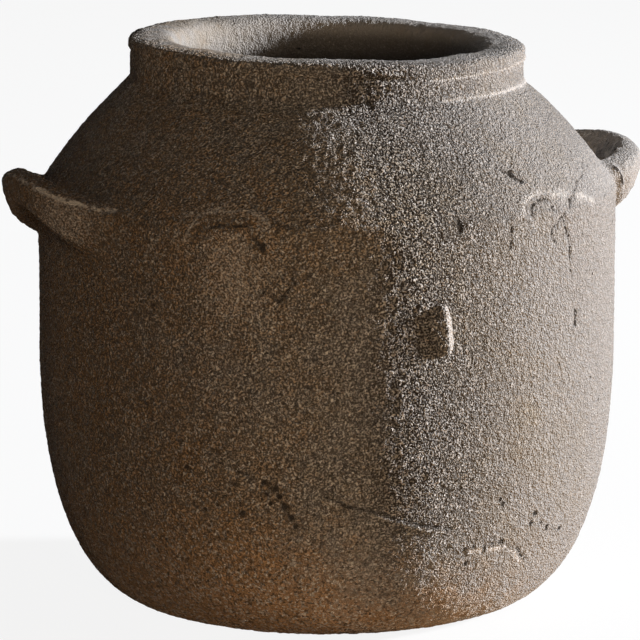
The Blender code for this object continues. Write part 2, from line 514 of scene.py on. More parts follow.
@dataclass(frozen=True)
class WallPlaces:
    """Places on the outer wall that marks are pressed into.

    Attributes:
        section: the jar's section.
        turn: turn of each place, in radians.
        along: distance of each place along the section.
        radius: radius of each place.
        stray: uneven shift of each place, two numbers from about -1 to 1.
    """

    section: Section
    turn: np.ndarray
    along: np.ndarray
    radius: np.ndarray
    stray: np.ndarray

    def flat(self, first: float) -> np.ndarray:
        """Unroll the wall about a turn, given in degrees.

        Args:
            first: the turn that becomes zero.

        Returns:
            Distance round the wall and distance up it, for each place.
        """
        round_turn = (self.turn - math.radians(first) + math.pi) % math.tau - math.pi
        return np.column_stack((round_turn * self.radius, self.along))

    def section_place(self, turn: float, height: float) -> np.ndarray:
        """Unrolled place of a turn in degrees, from the first one, and a height in millimetres."""
        along = self.section.outside(height * MM)
        radius = self.section.line.at(np.array([along]))[0][0, 0]
        return np.array([math.radians(turn) * radius, along])


def crack(
    *line: Place, width: float = 2.6, depth: float = 0.8, stain_and_painted_light: float = 1.0, wander: float = 1.1
) -> Mark:
    """A dark crack along these places, its darkness fading over a width that the finish then narrows."""
    return Mark(line, width, -depth, stain_and_painted_light, MarkShape.SHARP, wander)


def pits(width: float, *places: Place, depth: float = 1.0) -> tuple[Mark, ...]:
    """Holes of one width, left by grit that fell out at these places."""
    return tuple(Mark((place,), 2.0 * width, -depth, 1.15, MarkShape.SHARP, 1.0) for place in places)


def ridge(
    *line: Place, width: float = 1.2, height: float = 0.6, pale: float = 0.0, wander: float = 1.1
) -> Mark:
    """A raised line of clay along these places."""
    return Mark(line, width, height, -pale, MarkShape.ROUND, wander)


def smear(*line: Place, width: float, pale: float) -> Mark:
    """A patch of pale slip along these places, level with the wall."""
    return Mark(line, width, 0.0, -pale, MarkShape.ROUND, 4.0)


# Horseshoe smear on the left shoulder, with the wet clay pushed up round it and pale slip below it.
HORSESHOE = (
    smear((-41, 136), (-41, 126), width=15.0, pale=0.30),
    ridge((-60, 133), (-56, 142), width=0.8, height=0.5, pale=0.3),
    ridge((-54, 138), (-52, 146), (-48, 151), (-41, 152), width=0.8, height=0.6, pale=0.3),
    ridge((-51, 140), (-48, 148), (-45, 150), (-38, 150), (-34, 146), width=0.9, height=0.7, pale=0.48),
    ridge((-47, 140), (-45, 143), (-41, 143), width=0.9, height=0.6, pale=0.35),
    crack((-49, 141), (-47, 144), (-44, 146), (-38, 146), depth=0.6, stain_and_painted_light=0.76),
    crack((-37, 142), (-35, 138)),
    crack((-29, 131), (-30, 126), (-32, 121), stain_and_painted_light=0.84),
    *pits(1.0, (-35, 140), (-59, 121), (-58, 117), (-35, 125), (-29, 127)),
)

# Torn skin on the lower left: a row of holes where grit was dragged out, and the cracks beside it.
TORN_SKIN = (
    crack((-45, 66), (-41, 64), (-37, 61), stain_and_painted_light=0.88),
    crack((-35, 60), (-33, 56), (-31, 51), (-28, 43), stain_and_painted_light=0.76),
    *pits(1.2, (-35, 56), (-34, 53), (-30, 48), (-51, 63), (-45, 51), (-41, 59), (-43, 54)),
    *pits(1.5, (-35, 60), (-32, 55), (-29, 45), (-48, 49)),
    *pits(1.8, (-33, 58), (-31, 51), (-40, 49)),
)

# Hairline crack across the front, and the broken ledge at its right end.
HAIRLINE = (
    crack((-24, 56), (-19, 52), (-12, 49), (-4, 44), (3, 42), width=1.7, depth=0.6, wander=0.5),
    ridge((-23, 54), (-12, 48), (-4, 43), (2, 41), width=0.8, height=0.5, pale=0.6, wander=0.5),
    ridge((8, 33), (18, 32), (21, 29), (24, 25), height=0.5, pale=0.8, wander=0.8),
    crack((18, 32), (22, 30), (25, 25), stain_and_painted_light=0.86),
    *pits(1.1, (9, 34), (14, 34), (8, 28)),
    *pits(1.4, (7, 34), (12, 33), (16, 34)),
)

# Scars on the right, where the slip was torn as the lug was set, and holes below them.
SCARS = (
    ridge((18, 146), (20, 150), (25, 152), (29, 150), width=1.6, pale=0.5),
    ridge((31, 150), (36, 149), (41, 146), width=2.2, height=0.5, pale=0.5),
    crack((18, 160), (20, 158), (22, 156), stain_and_painted_light=0.9),
    crack((20, 146), (22, 149), (25, 150), (27, 149), (27, 146), stain_and_painted_light=0.85),
    crack((35, 149), (32, 146), (29, 143), (26, 140), (26, 137), (28, 135), stain_and_painted_light=0.85),
    crack((29, 143), (31, 138), (32, 133), (32, 127), stain_and_painted_light=0.85),
    crack((35, 149), (40, 152), (49, 156), depth=0.3, stain_and_painted_light=0.74),
    crack((15, 142), (15, 136), stain_and_painted_light=0.88),
    crack((3, 146), (3, 143)),
    crack((34, 110), (34, 106), stain_and_painted_light=0.95),
    *pits(1.0, (22, 156), (-10, 181)),
    *pits(1.3, (33, 148), (14, 50), (15, 48), (24, 39), (25, 42), (27, 38), (36, 33), (-11, 182)),
    *pits(1.5, (20, 159), (30, 36)),
)

# Raised lines from turning, under the lip and at the neck's foot.
TURNED_LINES = (
    ridge((8, 190), (50, 191), (80, 191), width=0.9, height=0.6, pale=0.6, wander=0.3),
    ridge((12, 182), (80, 182), width=1.0, height=0.7, pale=0.6, wander=0.3),
)


@dataclass(frozen=True)
class ClaySkin:
    """The hand-built surface: its unevenness, its sandy grain, its tilted rim and its marks.

    Attributes:
        section: the jar's section.
        marks: what is pressed or broken into the outside.
        swell: width and depth of the slow bulges of hand-built walls.
        dent: width and depth of finger dents.
        grain: width and depth of the coarse sand.
        rim_tilt: how far the rim rises at one side and falls at the other.
        rim_tilt_turn: turn at which the rim is highest, in degrees.
        rim_wave: width and depth of the lip's unevenness.
        rim_ease: heights between which the tilt sets in.
        stray_size: width of the bends in a mark's line.
    """

    section: Section
    marks: tuple[Mark, ...]
    swell: Place = (60.0 * MM, 0.35 * MM)
    dent: Place = (17.0 * MM, 0.15 * MM)
    grain: Place = (1.9 * MM, 0.28 * MM)
    rim_tilt: float = 1.6 * MM
    rim_tilt_turn: float = -113.0
    rim_wave: Place = (24.0 * MM, 0.7 * MM)
    rim_ease: Place = (170.0 * MM, 191.0 * MM)
    stray_size: float = 4.5 * MM

    def relief(self, points: np.ndarray) -> np.ndarray:
        """Unevenness of plain clay at places in space, in metres."""
        swell = self.swell[1] * clay_noise(points, self.swell[0], Pattern.SWELL)
        dent = self.dent[1] * clay_noise(points, self.dent[0], Pattern.DENT)
        return swell + dent + self.grit(points)

    def grit(self, points: np.ndarray) -> np.ndarray:
        """Coarse sand at places in space, in metres."""
        return self.grain[1] * clay_noise(points, self.grain[0], Pattern.GRAIN)

    def lift(self, points: np.ndarray, turn: np.ndarray) -> np.ndarray:
        """How far the uneven tilted rim lifts places near the top, in metres."""
        tilt = self.rim_tilt * np.cos(turn - math.radians(self.rim_tilt_turn))
        wave = self.rim_wave[1] * clay_noise(points, self.rim_wave[0], Pattern.RIM)
        return smooth_step(*self.rim_ease, points[:, 2]) * (tilt + wave)

    def shape(self, along: np.ndarray, turn: np.ndarray) -> tuple[np.ndarray, np.ndarray]:
        """Place the points of a turned wall.

        Args:
            along: distance of each point along the section.
            turn: turn of each point, in radians.

        Returns:
            Each point's place, and the stain there.
        """
        flat, facing = self.section.line.at(along)
        out = np.column_stack((np.sin(turn), -np.cos(turn)))
        points = np.column_stack((out * flat[:, :1], flat[:, 1]))
        direction = np.column_stack((out * facing[:, :1], facing[:, 1]))
        moved = self.relief(points)
        stain_and_painted_light = np.zeros(len(points))
        outside = np.flatnonzero(along < self.section.crown)
        if len(outside):
            strays = (Pattern.STRAY_ROUND, Pattern.STRAY_UP)
            stray = np.column_stack(
                [clay_noise(points[outside], self.stray_size, pattern) for pattern in strays]
            )
            wall = WallPlaces(self.section, turn[outside], along[outside], flat[outside, 0], stray)
            for mark in self.marks:
                pressed, darker = mark.press(wall)
                moved[outside] += pressed
                stain_and_painted_light[outside] = np.where(np.abs(darker) > np.abs(stain_and_painted_light[outside]), darker, stain_and_painted_light[outside])
        placed = points + direction * moved[:, None]
        placed[:, 2] += self.lift(points, turn)
        placed[:, 2] = np.maximum(placed[:, 2], 0.0)
        return placed, stain_and_painted_light


class Value:
    """A shader socket that Python's operators turn into Math nodes."""

    def __init__(self, graph: "ShaderGraph", socket: bpy.types.NodeSocket) -> None:
        """Wrap an output socket of a graph."""
        self.graph = graph
        self.socket = socket

    def other(self, name: str) -> "Value":
        """Another output of the same node."""
        return Value(self.graph, self.socket.node.outputs[name])

    def __add__(self, other: "Value | float") -> "Value":
        """This plus another."""
        return self.graph.math("ADD", self, other)

    def __radd__(self, other: float) -> "Value":
        """A number plus this."""
        return self.graph.math("ADD", other, self)

    def __sub__(self, other: "Value | float") -> "Value":
        """This minus another."""
        return self.graph.math("SUBTRACT", self, other)

    def __rsub__(self, other: float) -> "Value":
        """A number minus this."""
        return self.graph.math("SUBTRACT", other, self)

    def __mul__(self, other: "Value | float") -> "Value":
        """This times another."""
        return self.graph.math("MULTIPLY", self, other)

    def __rmul__(self, other: float) -> "Value":
        """A number times this."""
        return self.graph.math("MULTIPLY", other, self)

    def eased(self, low: float, high: float) -> "Value":
        """Ease from 0 to 1 as this goes from low to high."""
        limits = {"From Min": low, "From Max": high}
        settings = {"interpolation_type": "SMOOTHSTEP"}
        return self.graph.node("ShaderNodeMapRange", settings, {"Value": self, **limits})


class ShaderGraph:
    """The node tree of a material or of the world."""

    def __init__(self, tree: bpy.types.NodeTree) -> None:
        """Work on a tree."""
        self.tree = tree

    def fill(self, node: bpy.types.Node, sockets: dict[str | int, Any]) -> None:
        """Set or link the inputs of a node.

        Args:
            node: the node.
            sockets: a number, a colour, a vector or a Value for each input, by identifier, name or index.
        """
        for key, value in sockets.items():
            if isinstance(key, int):
                socket = node.inputs[key]
            else:
                socket = next(each for each in node.inputs if key in (each.identifier, each.name))
            if isinstance(value, Value):
                self.tree.links.new(value.socket, socket)
            elif socket.type == "RGBA":
                socket.default_value = (*value, 1.0)
            else:
                socket.default_value = value

    def node(
        self,
        kind: str,
        settings: dict[str, Any] | None = None,
        sockets: dict[str | int, Any] | None = None,
        output: str | int = 0,
    ) -> Value:
        """Add a node.

        Args:
            kind: the node's type.
            settings: its own properties, set first.
            sockets: the values or links of its inputs.
            output: the output to return, by identifier, name or index.

        Returns:
            The wanted output.
        """
        made = self.tree.nodes.new(kind)
        for key, value in (settings or {}).items():
            setattr(made, key, value)
        self.fill(made, sockets or {})
        if isinstance(output, int):
            return Value(self, made.outputs[output])
        return Value(self, next(each for each in made.outputs if output in (each.identifier, each.name)))

    def math(self, operation: str, first: Value | float, second: Value | float) -> Value:
        """One Math node."""
        return self.node("ShaderNodeMath", {"operation": operation}, {0: first, 1: second})

    def mix(self, share: Value | float, first: Value | Colour, second: Value | Colour) -> Value:
        """One colour turning into another as a share goes from 0 to 1."""
        sockets = {"Factor_Float": share, "A_Color": first, "B_Color": second}
        return self.node("ShaderNodeMix", {"data_type": "RGBA"}, sockets, "Result_Color")

    def parts(self, vector: Value) -> Value:
        """X of a vector or a colour, with Y and Z as its other outputs."""
        return self.node("ShaderNodeSeparateXYZ", {}, {"Vector": vector})

    def seen(self) -> Value:
        """1 where the camera sees a surface, also by reflection or through glass, and 0 for its light."""
        path = self.node("ShaderNodeLightPath")
        seen = self.math("MAXIMUM", path.other("Is Camera Ray"), path.other("Is Glossy Ray"))
        return self.math("MAXIMUM", seen, path.other("Is Transmission Ray"))

    def first_output(self, name: str) -> Value:
        """First output of a node that the tree came with."""
        return Value(self, self.tree.nodes[name].outputs[0])

    def noise(self, place: Value, size: float, detail: float, roughness: float = 0.5) -> Value:
        """Noise with lumps of one size, from 0 to 1."""
        sockets = {"Vector": place, "Scale": 1.0 / size, "Detail": detail, "Roughness": roughness}
        return self.node("ShaderNodeTexNoise", {}, sockets)

    def grains(self, place: Value, size: float) -> Value:
        """Cells of one size: the distance from each cell's middle, with its random colour as Color."""
        return self.node("ShaderNodeTexVoronoi", {}, {"Vector": place, "Scale": 1.0 / size})


@dataclass(frozen=True)
class ClayPattern:
    """What the colour and the relief of one clay share, each from 0 to 1 unless it says otherwise.

    Attributes:
        right: distance to the right of the axis, in metres.
        height: height above the floor, in metres.
        broad: slow change over the jar.
        mottle: change over a finger's width.
        crisp: grains of sand, with the gaps between them at 0.
        speck: three random numbers for each grain, as X, Y and Z.
        coarse: lumps of coarser grain.
        hole: holes where grit burnt out.
        tear_and_shade: dark cracks and pits, and painted shade in the lugs' creases and folds and between
            the lumps inside them, where the mesh's stain_and_painted_light is high.
        flake_and_highlight: pale torn slip and lug wear, and painted highlights on the pellet's right flank,
            on the lugs' top edges and on the lumps inside them, where the mesh's stain_and_painted_light is
            below 0.
        mouth: the inside of the mouth.
        wiped: how much grain is left where a hand wiped the clay.
        speckled: how much the grains differ in colour, less towards the right.
        open_grain_and_shade: band on the front, where the key light grazes, with deeper grain and more
            painted shade in the gaps between the grains.
    """

    right: Value
    height: Value
    broad: Value
    mottle: Value
    crisp: Value
    speck: Value
    coarse: Value
    hole: Value
    tear_and_shade: Value
    flake_and_highlight: Value
    mouth: Value
    wiped: Value
    speckled: Value
    open_grain_and_shade: Value


@dataclass(frozen=True)
class ClayFinish:
    """Coarse fired clay with sand in it, greyer or browner from firing, and rusty near the foot.

    Attributes:
        name: the material's name.
        grey: clay where the kiln was smoky.
        brown: clay where it was not.
        rust: iron stain.
        soot_and_shade: dark colour for dark grains, dirt in cracks and pits and the darker shoulder near the
            right lug, and for painted shade between the grains, on the side near the left lug, in the lugs'
            creases and in the throat.
        pale: grains rubbed pale, torn slip and lug wear, and painted highlights on the pellet and on the
            lugs.
        brownness: how much of the clay is brown, from 0 to 1.
        roughness: middle roughness.
        shine: level of its weak reflection.
        grain_depth: depth of the sandy grain.
        coarseness: how coarse it is, from 0 to 1.
        smoothness: how much of that is lost towards the right lug, from 0 to 1.
        left_shade: how much painted shade darkens the side near the left lug, from 0 to 1.
        shoulder_darkening: how much darker the shoulder near the right lug is, from 0 to 1.
        mouth_radius: radii between which the wiped inside of the mouth sets in.
    """

    name: str
    grey: Colour = (0.325, 0.305, 0.290)
    brown: Colour = (0.310, 0.256, 0.190)
    rust: Colour = (0.400, 0.215, 0.085)
    soot_and_shade: Colour = (0.026, 0.019, 0.013)
    pale: Colour = (0.540, 0.505, 0.475)
    brownness: float = 0.32
    roughness: float = 0.94
    shine: float = 0.25
    grain_depth: float = 3.5 * MM
    coarseness: float = 1.0
    smoothness: float = 0.65
    left_shade: float = 0.5
    shoulder_darkening: float = 0.34
    mouth_radius: Place = (65.6 * MM, 60.0 * MM)

    def pattern(self, graph: ShaderGraph) -> ClayPattern:
        """Lay out the grain, the holes, and the stains and painted light and shade that the mesh carries.

        Args:
            graph: the material's graph.

        Returns:
            The patterns.
        """
        place = graph.node("ShaderNodeTexCoord", output="Object")
        right = graph.parts(place)
        deep, height = right.other("Y"), right.other("Z")
        mottle = graph.noise(place, 9.0 * MM, 4.0, 0.6)
        fine = graph.noise(place, 0.62 * MM, 0.0)
        sand = graph.grains(place, 0.70 * MM)
        dots = graph.grains(place, 0.82 * MM)
        holes = graph.grains(place, 6.0 * MM)
        hole_luck = graph.parts(holes.other("Color"))
        stain_and_painted_light = graph.node("ShaderNodeAttribute", {"attribute_name": WEAR_AND_PAINTED_LIGHT}, {}, "Fac")
        edge, inside = (radius * radius for radius in self.mouth_radius)
        mouth = (right * right + deep * deep).eased(edge, inside) * height.eased(150.0 * MM, 170.0 * MM)
        wiped = (1.0 - mouth * 0.85) * self.coarseness
        return ClayPattern(
            right=right,
            height=height,
            broad=graph.noise(place, 75.0 * MM, 3.0),
            mottle=mottle,
            crisp=(fine - sand * 0.6).eased(0.02, 0.42),
            speck=graph.parts(dots.other("Color")),
            coarse=graph.noise(place, 1.9 * MM, 1.0),
            hole=(1.0 - holes.eased(0.03, 0.13)) * hole_luck.eased(0.45, 0.75),
            tear_and_shade=(stain_and_painted_light + (fine - 0.5) * 0.6 + (mottle - 0.5) * 0.6).eased(0.66, 0.82),
            flake_and_highlight=((fine - 0.5) * 0.8 - stain_and_painted_light).eased(0.05, 0.80),
            mouth=mouth,
            wiped=wiped,
            speckled=(1.0 - right.eased(-25.0 * MM, 45.0 * MM) * 0.75) * wiped,
            open_grain_and_shade=right.eased(-30.0 * MM, -12.0 * MM) * (1.0 - right.eased(0.0, 45.0 * MM)),
        )

    def fired_and_shaded_colour(self, graph: ShaderGraph, clay: ClayPattern) -> Value:
        """Colour of the clay from its firing: grey or brown, rusty at the foot, darker on the shoulder near
        the right lug, with a painted shadow inside the throat.

        Args:
            graph: the material's graph.
            clay: its patterns.

        Returns:
            The colour.
        """
        right, height = clay.right, clay.height
        uneven = (clay.mottle - 0.5) * 0.9
        firing = (clay.broad - 0.5) * 1.6 + uneven - right * 5.0 + self.brownness
        rusty = self.foot(clay) * 0.75 + uneven + (clay.broad - 0.5) * 0.9 - right * 9.0
        # Darker on the shoulder near the right lug.
        darker_shoulder = height.eased(148.0 * MM, 168.0 * MM) * right.eased(35.0 * MM, 80.0 * MM) * self.shoulder_darkening
        # Painted shadow inside the throat, where the lip shades the inner wall.
        throat = clay.mouth * height.eased(195.0 * MM, 188.0 * MM) * right.eased(-15.0 * MM, 10.0 * MM)
        colour = graph.mix(firing.eased(0.0, 1.0), self.grey, self.brown)
        colour = graph.mix(rusty.eased(0.25, 1.05) * 0.7, colour, self.rust)
        colour = graph.mix(darker_shoulder, colour, self.soot_and_shade)
        return graph.mix(throat * 0.75, colour, self.soot_and_shade)

    def foot(self, clay: ClayPattern) -> Value:
        """1 at the foot, fading up the heel."""
        return 1.0 - clay.height.eased(4.0 * MM, 60.0 * MM)

    def worn_and_shaded_colour(self, graph: ShaderGraph, clay: ClayPattern, fired: Value) -> Value:
        """Add the colours of the grains, painted shade in the gaps between them and on the side near the
        left lug, holes, and the stains and painted light and shade that the mesh carries.

        Args:
            graph: the material's graph.
            clay: its patterns.
            fired: the colour from the firing, with the painted shadow in the throat.

        Returns:
            The whole colour.
        """
        speck, speckled = clay.speck, clay.speckled
        # Painted shade in the gaps between the grains, standing in for the shadows the grains cast, deepest
        # in the band where the key light grazes.
        gap_shade = speckled * 0.80 + clay.open_grain_and_shade * clay.wiped * 0.28
        gaps = (1.0 - clay.crisp) * gap_shade * (1.0 - self.foot(clay) * 0.60)
        # Painted shade on the side near the left lug, which faces away from the key light.
        left_shade_share = (clay.right * -1.0).eased(50.0 * MM, 105.0 * MM) * self.left_shade
        layers = (
            (speck.other("Y").eased(0.55, 0.95) * speckled * 0.95, self.pale),
            (speck.other("Z").eased(0.60, 1.0) * speckled * 0.75, self.soot_and_shade),
            (speck.eased(0.90, 1.0) * speckled * 0.25, self.rust),
            # Painted shade in the gaps between the grains.
            (gaps, self.soot_and_shade),
            # Painted shade on the side near the left lug.
            (left_shade_share, self.soot_and_shade),
            (clay.hole * 0.8, self.soot_and_shade),
            # Pale slip and wear with painted highlights, and dark cracks and pits with painted shade in the
            # lugs' creases, folds and hollows.
            (clay.flake_and_highlight * 0.85, self.pale),
            (clay.tear_and_shade * 0.95, self.soot_and_shade),
        )
        colour = fired
        for share, layer in layers:
            colour = graph.mix(share, colour, layer)
        return colour

    def relief(self, clay: ClayPattern) -> Value:
        """Height of the grain, less the holes and tears, as a share of the grain's depth."""
        smooth = clay.right.eased(20.0 * MM, 85.0 * MM) * self.smoothness
        sandy = clay.crisp * (0.27 + clay.open_grain_and_shade * 0.25)
        lumpy = clay.coarse.eased(0.36, 0.64) * (0.16 + clay.open_grain_and_shade * 0.12)
        raised = (sandy + lumpy) * ((1.0 - smooth) * clay.wiped)
        return raised * (1.0 - clay.flake_and_highlight * 0.7) - clay.hole * 0.30 - clay.tear_and_shade * 0.20

    def material(self) -> bpy.types.Material:
        """Build the clay's node tree.

        Returns:
            The material.
        """
        material = bpy.data.materials.new(self.name)
        material.use_nodes = True
        graph = ShaderGraph(material.node_tree)
        clay = self.pattern(graph)
        bump = {"Strength": 1.0, "Distance": self.grain_depth, "Height": self.relief(clay)}
        shader = {
            "Base Color": self.worn_and_shaded_colour(graph, clay, self.fired_and_shaded_colour(graph, clay)),
            "Roughness": self.roughness + (clay.mottle - 0.5) * 0.12,
            "Normal": graph.node("ShaderNodeBump", {}, bump),
            "Specular IOR Level": self.shine,
            "Diffuse Roughness": 0.0,
        }
        graph.fill(graph.tree.nodes["Principled BSDF"], shader)
        material.cycles.use_bump_map_correction = False
        return material


@dataclass
class JarPiece(ABC):
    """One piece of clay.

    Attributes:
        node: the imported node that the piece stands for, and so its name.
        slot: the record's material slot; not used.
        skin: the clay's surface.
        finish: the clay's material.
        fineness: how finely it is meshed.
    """

    node: str
    slot: str
    skin: ClaySkin
    finish: bpy.types.Material
    fineness: Fineness

    @abstractmethod
    def model(self) -> bpy.types.Mesh:
        """Make the piece's mesh."""

    def build(self) -> bpy.types.Object:
        """Model the piece, dress it and set it on the frame.

        Returns:
            The finished object.
        """
        mesh = self.model()
        mesh.shade_smooth()
        mesh.set_sharp_from_angle(angle=SHARP_ANGLE)
        mesh.materials.append(self.finish)
        piece = bpy.data.objects.new("clay_" + self.node, mesh)
        bpy.context.scene.collection.objects.link(piece)
        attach(piece, BODY)
        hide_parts(self.node)
        LOG.info("%s: %d faces", piece.name, len(mesh.polygons))
        return piece

    def settle(self, shape: bmesh.types.BMesh, points: np.ndarray) -> np.ndarray:
        """Move the vertices of a closed shape.

        Args:
            shape: the shape.
            points: the new place of each vertex.

        Returns:
            The outward direction of each vertex.
        """
        for vert, place in zip(shape.verts, points):
            vert.co = place
        bmesh.ops.recalc_face_normals(shape, faces=shape.faces)
        shape.normal_update()
        return np.array([vert.normal for vert in shape.verts])

    def finished(
        self, shape: bmesh.types.BMesh, points: np.ndarray, stain_and_painted_light: np.ndarray
    ) -> bpy.types.Mesh:
        """Turn a shape into a mesh with placed points and a stain that also carries painted light and shade.

        Args:
            shape: the shape, which is freed.
            points: the place of each vertex.
            stain_and_painted_light: the stain of each vertex, with painted shade above 0 and painted
                highlights below 0 on the lugs and the pellet.

        Returns:
            The mesh.
        """
        mesh = bpy.data.meshes.new(self.node)
        shape.to_mesh(mesh)
        shape.free()
        mesh.vertices.foreach_set("co", points.astype(np.float32).ravel())
        if ALONG in mesh.attributes:
            mesh.attributes.remove(mesh.attributes[ALONG])
        wear_and_painted_light = mesh.attributes.new(WEAR_AND_PAINTED_LIGHT, "FLOAT", "POINT")
        wear_and_painted_light.data.foreach_set("value", stain_and_painted_light.astype(np.float32))
        mesh.update()
        return mesh


@dataclass
class TurnedPiece(JarPiece):
    """A piece of the turned wall."""

    @abstractmethod
    def rows(self) -> np.ndarray:
        """Distances along the section of the piece's rows, in order round it."""

    def stretch(self, start: float, end: float, spacing: float) -> np.ndarray:
        """Even rows between two distances along the section, both included."""
        return np.linspace(start, end, max(2, round(abs(end - start) / spacing) + 1))

    def model(self) -> bpy.types.Mesh:
        """Spin the rows about the axis and shape the clay.

        Returns:
            The mesh.
        """
        rows = self.rows()
        line, _ = self.skin.section.line.at(rows)
        shape = bmesh.new()
        layer = shape.verts.layers.float.new(ALONG)
        ring = []
        for row, (radius, height) in zip(rows, line):
            vert = shape.verts.new((0.0, -radius, height))
            vert[layer] = row
            ring.append(vert)
        edges = [shape.edges.new(pair) for pair in zip(ring, ring[1:])]
        if line[0, 0] > WELD:
            edges.append(shape.edges.new((ring[-1], ring[0])))
        bmesh.ops.spin(
            shape,
            geom=ring + edges,
            axis=(0.0, 0.0, 1.0),
            cent=(0.0, 0.0, 0.0),
            angle=math.tau,
            steps=self.fineness.spin_steps,
            use_merge=True,
        )
        bmesh.ops.remove_doubles(shape, verts=shape.verts, dist=WELD)
        around = [edge for edge in shape.edges if edge.verts[0][layer] == edge.verts[1][layer]]
        bmesh.ops.subdivide_edges(shape, edges=around, cuts=self.fineness.spin_cuts, use_grid_fill=True)
        bmesh.ops.recalc_face_normals(shape, faces=shape.faces)
        along = np.array([vert[layer] for vert in shape.verts])
        places = np.array([vert.co for vert in shape.verts])
        turn = np.arctan2(places[:, 0], -places[:, 1])
        points, stain_and_painted_light = self.skin.shape(along, turn)
        return self.finished(shape, points, stain_and_painted_light)


@dataclass
class BaseDisc(TurnedPiece):
    """The slab that the jar stands on, with the lowest stretch of the heel."""

    def rows(self) -> np.ndarray:
        """Underside from the axis, the heel's foot, and the floor back to the axis."""
        section = self.skin.section
        profile = section.profile
        foot = profile.foot_radius
        floor_edge = section.inside(profile.floor + WELD)
        under = self.stretch(0.0, foot, self.fineness.inner_row)
        heel = self.stretch(foot, section.outside(profile.floor), self.fineness.outer_row)
        floor = self.stretch(floor_edge, section.line.along[-1], self.fineness.inner_row)
        return np.concatenate((under, heel[1:], floor))


@dataclass
class WallRing(TurnedPiece):
    """A ring of the wall between two seams.

    Attributes:
        low: height of its lower seam.
        high: height of its upper seam.
    """

    low: float
    high: float

    def inner_spacing(self) -> float:
        """Distance between rows on the inside."""
        return self.fineness.inner_row

    def rows(self) -> np.ndarray:
        """Up the outside and down the inside."""
        section = self.skin.section
        outer = self.stretch(section.outside(self.low), section.outside(self.high), self.fineness.outer_row)
        inner = self.stretch(section.inside(self.high), section.inside(self.low), self.inner_spacing())
        return np.concatenate((outer, inner))


@dataclass
class NeckCollar(WallRing):
    """The short ring that carries the rim, as finely meshed on the inside as on the outside."""

    def inner_spacing(self) -> float:
        """Distance between rows in the throat."""
        return self.fineness.outer_row


@dataclass
class RimCoil(TurnedPiece):
    """The thick coil that makes the lip."""

    def rows(self) -> np.ndarray:
        """Over the crown from the outer seam to the inner one."""
        section = self.skin.section
        rim_seam = section.profile.rim_seam
        return self.stretch(section.outside(rim_seam), section.inside(rim_seam), self.fineness.outer_row)


